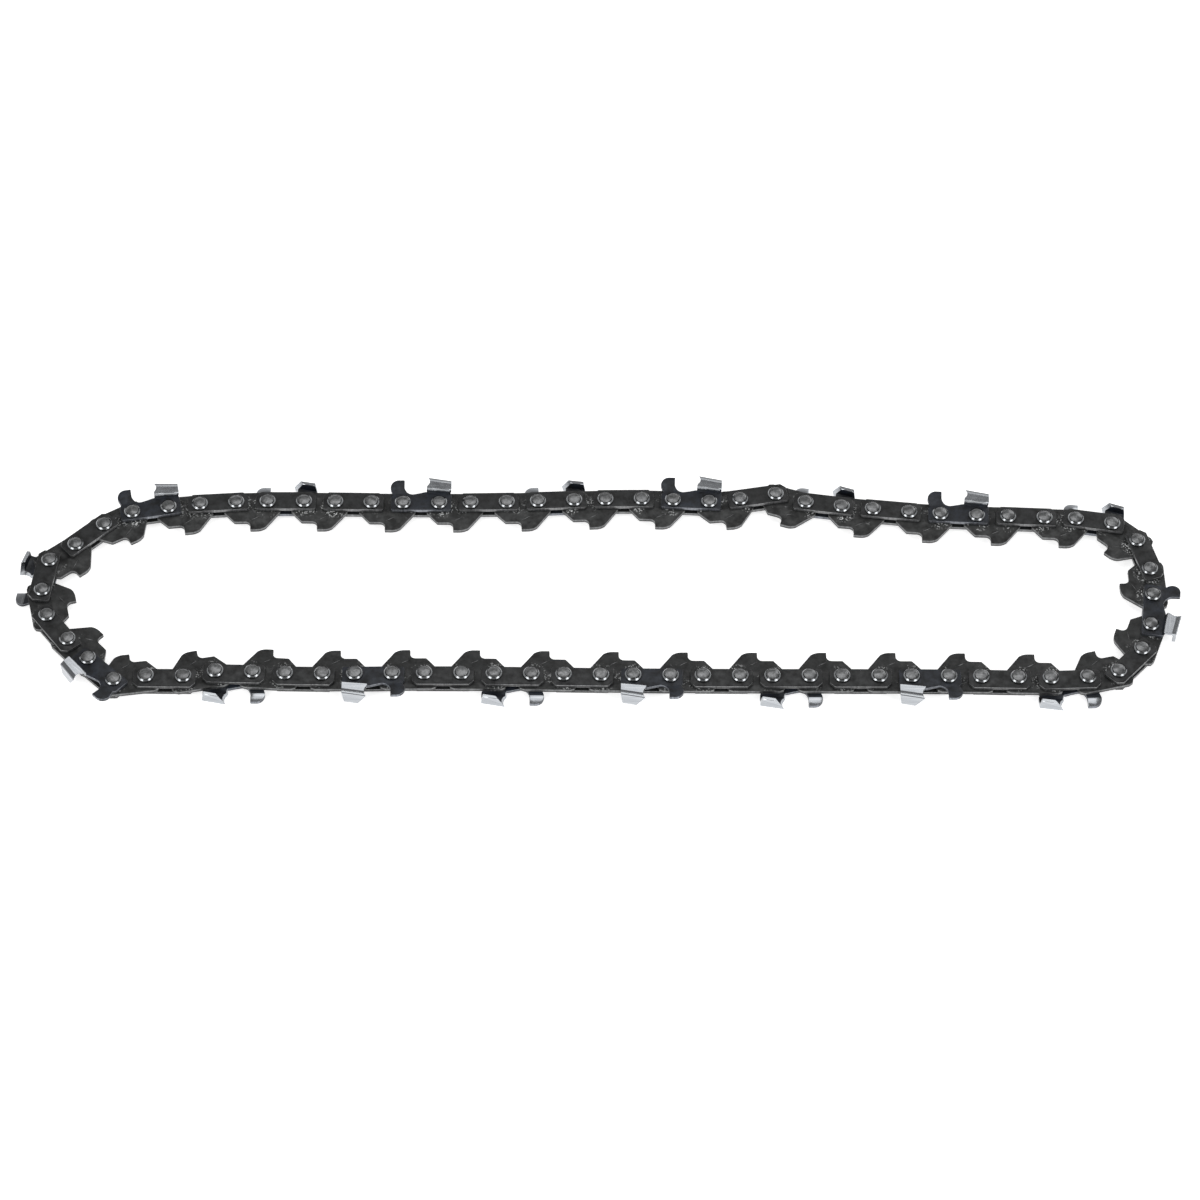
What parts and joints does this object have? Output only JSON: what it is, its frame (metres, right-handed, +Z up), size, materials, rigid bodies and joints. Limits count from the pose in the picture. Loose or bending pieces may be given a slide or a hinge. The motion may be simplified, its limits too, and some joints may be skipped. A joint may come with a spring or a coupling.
{
  "type": "chainsaw chain loop",
  "caption": "Closed loop of low profile saw chain with riveted straps, hooked drive links and alternating left and right cutters.",
  "frame": {"origin": "centre of the loop's box on the surface that it lies on", "axes": "+X along the long runs towards the end with the drive sprocket space, +Y across the loop, +Z up along the rivets"},
  "size_m": [0.3158, 0.077, 0.0054],
  "materials": {
    "strap_steel": "oiled black steel, with the spun rivet heads bare grey",
    "drive_link_steel": "oiled black steel with lighter sheared edges",
    "cutter_steel": "blue black steel, with bare chrome plating on the cutter plate"
  },
  "bodies": {
    "drive_link_01": {"drive_link_01": "drive_link_steel"},
    "drive_link_03": {"drive_link_03": "drive_link_steel"},
    "drive_link_05": {"drive_link_05": "drive_link_steel"},
    "drive_link_07": {"drive_link_07": "drive_link_steel"},
    "drive_link_09": {"drive_link_09": "drive_link_steel"},
    "drive_link_11": {"drive_link_11": "drive_link_steel"},
    "drive_link_13": {"drive_link_13": "drive_link_steel"},
    "drive_link_14": {"drive_link_14": "drive_link_steel"},
    "drive_link_15": {"drive_link_15": "drive_link_steel"},
    "drive_link_16": {"drive_link_16": "drive_link_steel"},
    "drive_link_17": {"drive_link_17": "drive_link_steel"},
    "drive_link_18": {"drive_link_18": "drive_link_steel"},
    "drive_link_19": {"drive_link_19": "drive_link_steel"},
    "drive_link_21": {"drive_link_21": "drive_link_steel"},
    "drive_link_23": {"drive_link_23": "drive_link_steel"},
    "drive_link_25": {"drive_link_25": "drive_link_steel"},
    "drive_link_27": {"drive_link_27": "drive_link_steel"},
    "drive_link_29": {"drive_link_29": "drive_link_steel"},
    "drive_link_31": {"drive_link_31": "drive_link_steel"},
    "drive_link_32": {"drive_link_32": "drive_link_steel"},
    "drive_link_33": {"drive_link_33": "drive_link_steel"},
    "drive_link_34": {"drive_link_34": "drive_link_steel"},
    "drive_link_35": {"drive_link_35": "drive_link_steel"},
    "drive_link_36": {"drive_link_36": "drive_link_steel"},
    "left_cutter_01": {"left_cutter_01": "cutter_steel"},
    "left_cutter_05": {"left_cutter_05": "cutter_steel"},
    "left_cutter_09": {"left_cutter_09": "cutter_steel"},
    "left_cutter_13": {"left_cutter_13": "cutter_steel"},
    "left_cutter_17": {"left_cutter_17": "cutter_steel"},
    "left_cutter_21": {"left_cutter_21": "cutter_steel"},
    "left_cutter_25": {"left_cutter_25": "cutter_steel"},
    "left_cutter_29": {"left_cutter_29": "cutter_steel"},
    "left_cutter_33": {"left_cutter_33": "cutter_steel"},
    "right_cutter_03": {"right_cutter_03": "cutter_steel"},
    "right_cutter_07": {"right_cutter_07": "cutter_steel"},
    "right_cutter_11": {"right_cutter_11": "cutter_steel"},
    "right_cutter_15": {"right_cutter_15": "cutter_steel"},
    "right_cutter_19": {"right_cutter_19": "cutter_steel"},
    "right_cutter_23": {"right_cutter_23": "cutter_steel"},
    "right_cutter_27": {"right_cutter_27": "cutter_steel"},
    "right_cutter_31": {"right_cutter_31": "cutter_steel"},
    "right_cutter_35": {"right_cutter_35": "cutter_steel"},
    "tie_pair_02": {"tie_pair_02": "strap_steel"},
    "tie_pair_04": {"tie_pair_04": "strap_steel"},
    "tie_pair_06": {"tie_pair_06": "strap_steel"},
    "tie_pair_08": {"tie_pair_08": "strap_steel"},
    "tie_pair_10": {"tie_pair_10": "strap_steel"},
    "tie_pair_12": {"tie_pair_12": "strap_steel"},
    "tie_pair_14": {"tie_pair_14": "strap_steel"},
    "tie_pair_16": {"tie_pair_16": "strap_steel"},
    "tie_pair_18": {"tie_pair_18": "strap_steel"},
    "tie_pair_20": {"tie_pair_20": "strap_steel"},
    "tie_pair_22": {"tie_pair_22": "strap_steel"},
    "tie_pair_24": {"tie_pair_24": "strap_steel"},
    "tie_pair_26": {"tie_pair_26": "strap_steel"},
    "tie_pair_28": {"tie_pair_28": "strap_steel"},
    "tie_pair_30": {"tie_pair_30": "strap_steel"},
    "tie_pair_32": {"tie_pair_32": "strap_steel"},
    "tie_pair_34": {"tie_pair_34": "strap_steel"},
    "tie_pair_36": {"tie_pair_36": "strap_steel"}
  },
  "joints": [
    {"name": "rivet_18", "type": "hinge", "parent": "left_cutter_09", "child": "drive_link_09", "pos_m": [0.03027, 0.03065, 0.00271], "axis": [0, 0, 1], "range_deg": [-14.44, 1.73]},
    {"name": "rivet_19", "type": "hinge", "parent": "drive_link_09", "child": "tie_pair_10", "pos_m": [0.03883, 0.03167, 0.00271], "axis": [0, 0, 1], "range_deg": [-0.12, 1]},
    {"name": "rivet_21", "type": "hinge", "parent": "tie_pair_10", "child": "right_cutter_11", "pos_m": [0.05689, 0.03094, 0.00271], "axis": [0, 0, 1], "range_deg": [-2.63, 0.32]},
    {"name": "rivet_22", "type": "hinge", "parent": "right_cutter_11", "child": "drive_link_11", "pos_m": [0.06683, 0.02967, 0.00271], "axis": [0, 0, 1], "range_deg": [-7.78, 0.93]},
    {"name": "rivet_23", "type": "hinge", "parent": "drive_link_11", "child": "tie_pair_12", "pos_m": [0.07542, 0.02894, 0.00271], "axis": [0, 0, 1], "range_deg": [-9.76, 1.17]},
    {"name": "rivet_25", "type": "hinge", "parent": "tie_pair_12", "child": "left_cutter_13", "pos_m": [0.09401, 0.02758, 0.00271], "axis": [0, 0, 1], "range_deg": [-8.3, 1]},
    {"name": "rivet_26", "type": "hinge", "parent": "left_cutter_13", "child": "drive_link_13", "pos_m": [0.10402, 0.02728, 0.00271], "axis": [0, 0, 1], "range_deg": [-4.28, 0.51]},
    {"name": "rivet_27", "type": "hinge", "parent": "drive_link_13", "child": "tie_pair_14", "pos_m": [0.11264, 0.02708, 0.00271], "axis": [0, 0, 1], "range_deg": [-3.03, 0.36]},
    {"name": "rivet_28", "type": "hinge", "parent": "tie_pair_14", "child": "drive_link_14", "pos_m": [0.12265, 0.02681, 0.00271], "axis": [0, 0, 1], "range_deg": [-3.49, 0.42]},
    {"name": "rivet_29", "type": "hinge", "parent": "drive_link_14", "child": "right_cutter_15", "pos_m": [0.13127, 0.02659, 0.00271], "axis": [0, 0, 1], "range_deg": [-0.64, 5.33]},
    {"name": "rivet_30", "type": "hinge", "parent": "right_cutter_15", "child": "drive_link_15", "pos_m": [0.14119, 0.02518, 0.00271], "axis": [0, 0, 1], "range_deg": [-2.79, 23.23]},
    {"name": "rivet_31", "type": "hinge", "parent": "drive_link_15", "child": "tie_pair_16", "pos_m": [0.14768, 0.01951, 0.00271], "axis": [0, 0, 1], "range_deg": [-2.47, 20.61]},
    {"name": "rivet_32", "type": "hinge", "parent": "tie_pair_16", "child": "drive_link_16", "pos_m": [0.15051, 0.00989, 0.00271], "axis": [0, 0, 1], "range_deg": [-1.39, 11.57]},
    {"name": "rivet_33", "type": "hinge", "parent": "drive_link_16", "child": "left_cutter_17", "pos_m": [0.15081, 0.00128, 0.00271], "axis": [0, 0, 1], "range_deg": [-0.67, 5.58]},
    {"name": "rivet_34", "type": "hinge", "parent": "left_cutter_17", "child": "drive_link_17", "pos_m": [0.14962, -0.00867, 0.00271], "axis": [0, 0, 1], "range_deg": [-2.02, 16.86]},
    {"name": "rivet_35", "type": "hinge", "parent": "drive_link_17", "child": "tie_pair_18", "pos_m": [0.14667, -0.01677, 0.00271], "axis": [0, 0, 1], "range_deg": [-3.62, 30.15]},
    {"name": "rivet_36", "type": "hinge", "parent": "tie_pair_18", "child": "drive_link_18", "pos_m": [0.13991, -0.02417, 0.00271], "axis": [0, 0, 1], "range_deg": [-1.11, 9.22]},
    {"name": "rivet_37", "type": "hinge", "parent": "drive_link_18", "child": "right_cutter_19", "pos_m": [0.13156, -0.02629, 0.00271], "axis": [0, 0, 1], "range_deg": [-1, 0.12]},
    {"name": "rivet_38", "type": "hinge", "parent": "right_cutter_19", "child": "drive_link_19", "pos_m": [0.12155, -0.02682, 0.00271], "axis": [0, 0, 1], "range_deg": [-1.62, 0.19]},
    {"name": "rivet_39", "type": "hinge", "parent": "drive_link_19", "child": "tie_pair_20", "pos_m": [0.11293, -0.02682, 0.00271], "axis": [0, 0, 1], "range_deg": [-7.29, 0.87]},
    {"name": "rivet_41", "type": "hinge", "parent": "tie_pair_20", "child": "left_cutter_21", "pos_m": [0.09429, -0.02685, 0.00271], "axis": [0, 0, 1], "range_deg": [-3.99, 0.48]},
    {"name": "rivet_42", "type": "hinge", "parent": "left_cutter_21", "child": "drive_link_21", "pos_m": [0.08427, -0.02696, 0.00271], "axis": [0, 0, 1], "range_deg": [-4.12, 0.49]},
    {"name": "rivet_43", "type": "hinge", "parent": "drive_link_21", "child": "tie_pair_22", "pos_m": [0.07565, -0.02709, 0.00271], "axis": [0, 0, 1], "range_deg": [-6.38, 0.77]},
    {"name": "rivet_45", "type": "hinge", "parent": "tie_pair_22", "child": "right_cutter_23", "pos_m": [0.05702, -0.02741, 0.00271], "axis": [0, 0, 1], "range_deg": [-7.93, 0.95]},
    {"name": "rivet_46", "type": "hinge", "parent": "right_cutter_23", "child": "drive_link_23", "pos_m": [0.047, -0.02758, 0.00271], "axis": [0, 0, 1], "range_deg": [-5.24, 0.63]},
    {"name": "rivet_47", "type": "hinge", "parent": "drive_link_23", "child": "tie_pair_24", "pos_m": [0.03838, -0.02772, 0.00271], "axis": [0, 0, 1], "range_deg": [-8.17, 0.98]},
    {"name": "rivet_49", "type": "hinge", "parent": "tie_pair_24", "child": "left_cutter_25", "pos_m": [0.01974, -0.02797, 0.00271], "axis": [0, 0, 1], "range_deg": [-7.59, 0.91]},
    {"name": "rivet_50", "type": "hinge", "parent": "left_cutter_25", "child": "drive_link_25", "pos_m": [0.00972, -0.02806, 0.00271], "axis": [0, 0, 1], "range_deg": [-4.83, 0.58]},
    {"name": "rivet_51", "type": "hinge", "parent": "drive_link_25", "child": "tie_pair_26", "pos_m": [0.0011, -0.02812, 0.00271], "axis": [0, 0, 1], "range_deg": [-8.07, 0.97]},
    {"name": "rivet_53", "type": "hinge", "parent": "tie_pair_26", "child": "right_cutter_27", "pos_m": [-0.01754, -0.02817, 0.00271], "axis": [0, 0, 1], "range_deg": [-6.4, 0.77]},
    {"name": "rivet_17", "type": "hinge", "parent": "left_cutter_09", "child": "tie_pair_08", "pos_m": [0.02026, 0.031, 0.00271], "axis": [0, 0, 1], "range_deg": [-0.89, 7.44]},
    {"name": "rivet_15", "type": "hinge", "parent": "tie_pair_08", "child": "drive_link_07", "pos_m": [0.00163, 0.03085, 0.00271], "axis": [0, 0, 1], "range_deg": [-0.44, 3.67]},
    {"name": "rivet_14", "type": "hinge", "parent": "drive_link_07", "child": "right_cutter_07", "pos_m": [-0.00698, 0.0304, 0.00271], "axis": [0, 0, 1], "range_deg": [-0.55, 4.58]},
    {"name": "rivet_13", "type": "hinge", "parent": "right_cutter_07", "child": "tie_pair_06", "pos_m": [-0.01699, 0.02981, 0.00271], "axis": [0, 0, 1], "range_deg": [-0.98, 8.2]},
    {"name": "rivet_11", "type": "hinge", "parent": "tie_pair_06", "child": "drive_link_05", "pos_m": [-0.03561, 0.02902, 0.00271], "axis": [0, 0, 1], "range_deg": [-0.9, 7.48]},
    {"name": "rivet_10", "type": "hinge", "parent": "drive_link_05", "child": "left_cutter_05", "pos_m": [-0.04423, 0.0288, 0.00271], "axis": [0, 0, 1], "range_deg": [-0.64, 5.35]},
    {"name": "rivet_09", "type": "hinge", "parent": "left_cutter_05", "child": "tie_pair_04", "pos_m": [-0.05424, 0.02865, 0.00271], "axis": [0, 0, 1], "range_deg": [-1.03, 8.59]},
    {"name": "rivet_07", "type": "hinge", "parent": "tie_pair_04", "child": "drive_link_03", "pos_m": [-0.07288, 0.02858, 0.00271], "axis": [0, 0, 1], "range_deg": [-1.01, 8.44]},
    {"name": "rivet_06", "type": "hinge", "parent": "drive_link_03", "child": "right_cutter_03", "pos_m": [-0.0815, 0.02855, 0.00271], "axis": [0, 0, 1], "range_deg": [-0.66, 5.46]},
    {"name": "rivet_05", "type": "hinge", "parent": "right_cutter_03", "child": "tie_pair_02", "pos_m": [-0.09152, 0.02836, 0.00271], "axis": [0, 0, 1], "range_deg": [-1.13, 9.4]},
    {"name": "rivet_03", "type": "hinge", "parent": "tie_pair_02", "child": "drive_link_01", "pos_m": [-0.11012, 0.02713, 0.00271], "axis": [0, 0, 1], "range_deg": [-0.12, 1]},
    {"name": "rivet_02", "type": "hinge", "parent": "drive_link_01", "child": "left_cutter_01", "pos_m": [-0.11866, 0.02598, 0.00271], "axis": [0, 0, 1], "range_deg": [-0.12, 1]},
    {"name": "rivet_01", "type": "hinge", "parent": "left_cutter_01", "child": "drive_link_36", "pos_m": [-0.1285, 0.02409, 0.00271], "axis": [0, 0, 1], "range_deg": [-27.1, 3.25]},
    {"name": "rivet_72", "type": "hinge", "parent": "drive_link_36", "child": "tie_pair_36", "pos_m": [-0.13587, 0.01962, 0.00271], "axis": [0, 0, 1], "range_deg": [-8.22, 0.99]},
    {"name": "rivet_71", "type": "hinge", "parent": "tie_pair_36", "child": "drive_link_35", "pos_m": [-0.14309, 0.01267, 0.00271], "axis": [0, 0, 1], "range_deg": [-0.95, 7.88]},
    {"name": "rivet_70", "type": "hinge", "parent": "drive_link_35", "child": "right_cutter_35", "pos_m": [-0.14972, 0.00716, 0.00271], "axis": [0, 0, 1], "range_deg": [-28.28, 3.39]},
    {"name": "rivet_69", "type": "hinge", "parent": "right_cutter_35", "child": "drive_link_34", "pos_m": [-0.15082, -0.0028, 0.00271], "axis": [0, 0, 1], "range_deg": [-11.71, 1.41]},
    {"name": "rivet_68", "type": "hinge", "parent": "drive_link_34", "child": "tie_pair_34", "pos_m": [-0.14877, -0.01117, 0.00271], "axis": [0, 0, 1], "range_deg": [-37.79, 4.54]},
    {"name": "rivet_67", "type": "hinge", "parent": "tie_pair_34", "child": "drive_link_33", "pos_m": [-0.1425, -0.01899, 0.00271], "axis": [0, 0, 1], "range_deg": [-1, 0.12]},
    {"name": "rivet_66", "type": "hinge", "parent": "drive_link_33", "child": "left_cutter_33", "pos_m": [-0.13647, -0.02515, 0.00271], "axis": [0, 0, 1], "range_deg": [-2.05, 17.07]},
    {"name": "rivet_65", "type": "hinge", "parent": "left_cutter_33", "child": "drive_link_32", "pos_m": [-0.12908, -0.03192, 0.00271], "axis": [0, 0, 1], "range_deg": [-39.92, 4.79]},
    {"name": "rivet_64", "type": "hinge", "parent": "drive_link_32", "child": "tie_pair_32", "pos_m": [-0.12056, -0.03063, 0.00271], "axis": [0, 0, 1], "range_deg": [-0.49, 4.11]},
    {"name": "rivet_63", "type": "hinge", "parent": "tie_pair_32", "child": "drive_link_31", "pos_m": [-0.11054, -0.03052, 0.00271], "axis": [0, 0, 1], "range_deg": [-0.78, 6.48]},
    {"name": "rivet_62", "type": "hinge", "parent": "drive_link_31", "child": "right_cutter_31", "pos_m": [-0.1021, -0.02876, 0.00271], "axis": [0, 0, 1], "range_deg": [-1.13, 9.4]},
    {"name": "rivet_61", "type": "hinge", "parent": "right_cutter_31", "child": "tie_pair_30", "pos_m": [-0.09208, -0.02885, 0.00271], "axis": [0, 0, 1], "range_deg": [-1.24, 10.3]},
    {"name": "rivet_59", "type": "hinge", "parent": "tie_pair_30", "child": "drive_link_29", "pos_m": [-0.07345, -0.02914, 0.00271], "axis": [0, 0, 1], "range_deg": [-0.27, 2.22]},
    {"name": "rivet_58", "type": "hinge", "parent": "drive_link_29", "child": "left_cutter_29", "pos_m": [-0.06483, -0.02891, 0.00271], "axis": [0, 0, 1], "range_deg": [-0.52, 4.36]},
    {"name": "rivet_57", "type": "hinge", "parent": "left_cutter_29", "child": "tie_pair_28", "pos_m": [-0.05481, -0.0286, 0.00271], "axis": [0, 0, 1], "range_deg": [-0.93, 7.74]},
    {"name": "rivet_55", "type": "hinge", "parent": "tie_pair_28", "child": "drive_link_27", "pos_m": [-0.03618, -0.02827, 0.00271], "axis": [0, 0, 1], "range_deg": [-0.76, 6.35]}
  ],
  "couplings": [
    {"joint": "rivet_18", "follows": "rivet_17", "ratio": -1.9406},
    {"joint": "rivet_19", "follows": "rivet_17", "ratio": 0.13441},
    {"joint": "rivet_21", "follows": "rivet_17", "ratio": -0.35365},
    {"joint": "rivet_22", "follows": "rivet_17", "ratio": -1.0457},
    {"joint": "rivet_23", "follows": "rivet_17", "ratio": -1.3115},
    {"joint": "rivet_25", "follows": "rivet_17", "ratio": -1.1162},
    {"joint": "rivet_26", "follows": "rivet_17", "ratio": -0.57571},
    {"joint": "rivet_27", "follows": "rivet_17", "ratio": -0.40741},
    {"joint": "rivet_28", "follows": "rivet_17", "ratio": -0.46948},
    {"joint": "rivet_29", "follows": "rivet_17", "ratio": 0.71676},
    {"joint": "rivet_30", "follows": "rivet_17", "ratio": 3.1226},
    {"joint": "rivet_31", "follows": "rivet_17", "ratio": 2.7706},
    {"joint": "rivet_32", "follows": "rivet_17", "ratio": 1.5557},
    {"joint": "rivet_33", "follows": "rivet_17", "ratio": 0.74974},
    {"joint": "rivet_34", "follows": "rivet_17", "ratio": 2.266},
    {"joint": "rivet_35", "follows": "rivet_17", "ratio": 4.0526},
    {"joint": "rivet_36", "follows": "rivet_17", "ratio": 1.2398},
    {"joint": "rivet_37", "follows": "rivet_17", "ratio": -0.1344},
    {"joint": "rivet_38", "follows": "rivet_17", "ratio": -0.21801},
    {"joint": "rivet_39", "follows": "rivet_17", "ratio": -0.97949},
    {"joint": "rivet_41", "follows": "rivet_17", "ratio": -0.53692},
    {"joint": "rivet_42", "follows": "rivet_17", "ratio": -0.55404},
    {"joint": "rivet_43", "follows": "rivet_17", "ratio": -0.858},
    {"joint": "rivet_45", "follows": "rivet_17", "ratio": -1.0654},
    {"joint": "rivet_46", "follows": "rivet_17", "ratio": -0.70427},
    {"joint": "rivet_47", "follows": "rivet_17", "ratio": -1.0977},
    {"joint": "rivet_49", "follows": "rivet_17", "ratio": -1.0205},
    {"joint": "rivet_50", "follows": "rivet_17", "ratio": -0.64986},
    {"joint": "rivet_51", "follows": "rivet_17", "ratio": -1.0843},
    {"joint": "rivet_53", "follows": "rivet_17", "ratio": -0.85983},
    {"joint": "rivet_15", "follows": "rivet_17", "ratio": 0.49375},
    {"joint": "rivet_14", "follows": "rivet_17", "ratio": 0.61554},
    {"joint": "rivet_13", "follows": "rivet_17", "ratio": 1.103},
    {"joint": "rivet_11", "follows": "rivet_17", "ratio": 1.0057},
    {"joint": "rivet_10", "follows": "rivet_17", "ratio": 0.71901},
    {"joint": "rivet_09", "follows": "rivet_17", "ratio": 1.1546},
    {"joint": "rivet_07", "follows": "rivet_17", "ratio": 1.135},
    {"joint": "rivet_06", "follows": "rivet_17", "ratio": 0.73452},
    {"joint": "rivet_05", "follows": "rivet_17", "ratio": 1.2634},
    {"joint": "rivet_03", "follows": "rivet_17", "ratio": 0.13406},
    {"joint": "rivet_02", "follows": "rivet_17", "ratio": 0.13422},
    {"joint": "rivet_01", "follows": "rivet_17", "ratio": -3.6433},
    {"joint": "rivet_72", "follows": "rivet_17", "ratio": -1.1047},
    {"joint": "rivet_71", "follows": "rivet_17", "ratio": 1.0592},
    {"joint": "rivet_70", "follows": "rivet_17", "ratio": -3.8018},
    {"joint": "rivet_69", "follows": "rivet_17", "ratio": -1.574},
    {"joint": "rivet_68", "follows": "rivet_17", "ratio": -5.0803},
    {"joint": "rivet_67", "follows": "rivet_17", "ratio": -0.13427},
    {"joint": "rivet_66", "follows": "rivet_17", "ratio": 2.2954},
    {"joint": "rivet_65", "follows": "rivet_17", "ratio": -5.3669},
    {"joint": "rivet_64", "follows": "rivet_17", "ratio": 0.55207},
    {"joint": "rivet_63", "follows": "rivet_17", "ratio": 0.87044},
    {"joint": "rivet_62", "follows": "rivet_17", "ratio": 1.2642},
    {"joint": "rivet_61", "follows": "rivet_17", "ratio": 1.3845},
    {"joint": "rivet_59", "follows": "rivet_17", "ratio": 0.29895},
    {"joint": "rivet_58", "follows": "rivet_17", "ratio": 0.58674},
    {"joint": "rivet_57", "follows": "rivet_17", "ratio": 1.0401},
    {"joint": "rivet_55", "follows": "rivet_17", "ratio": 0.85422}
  ]
}
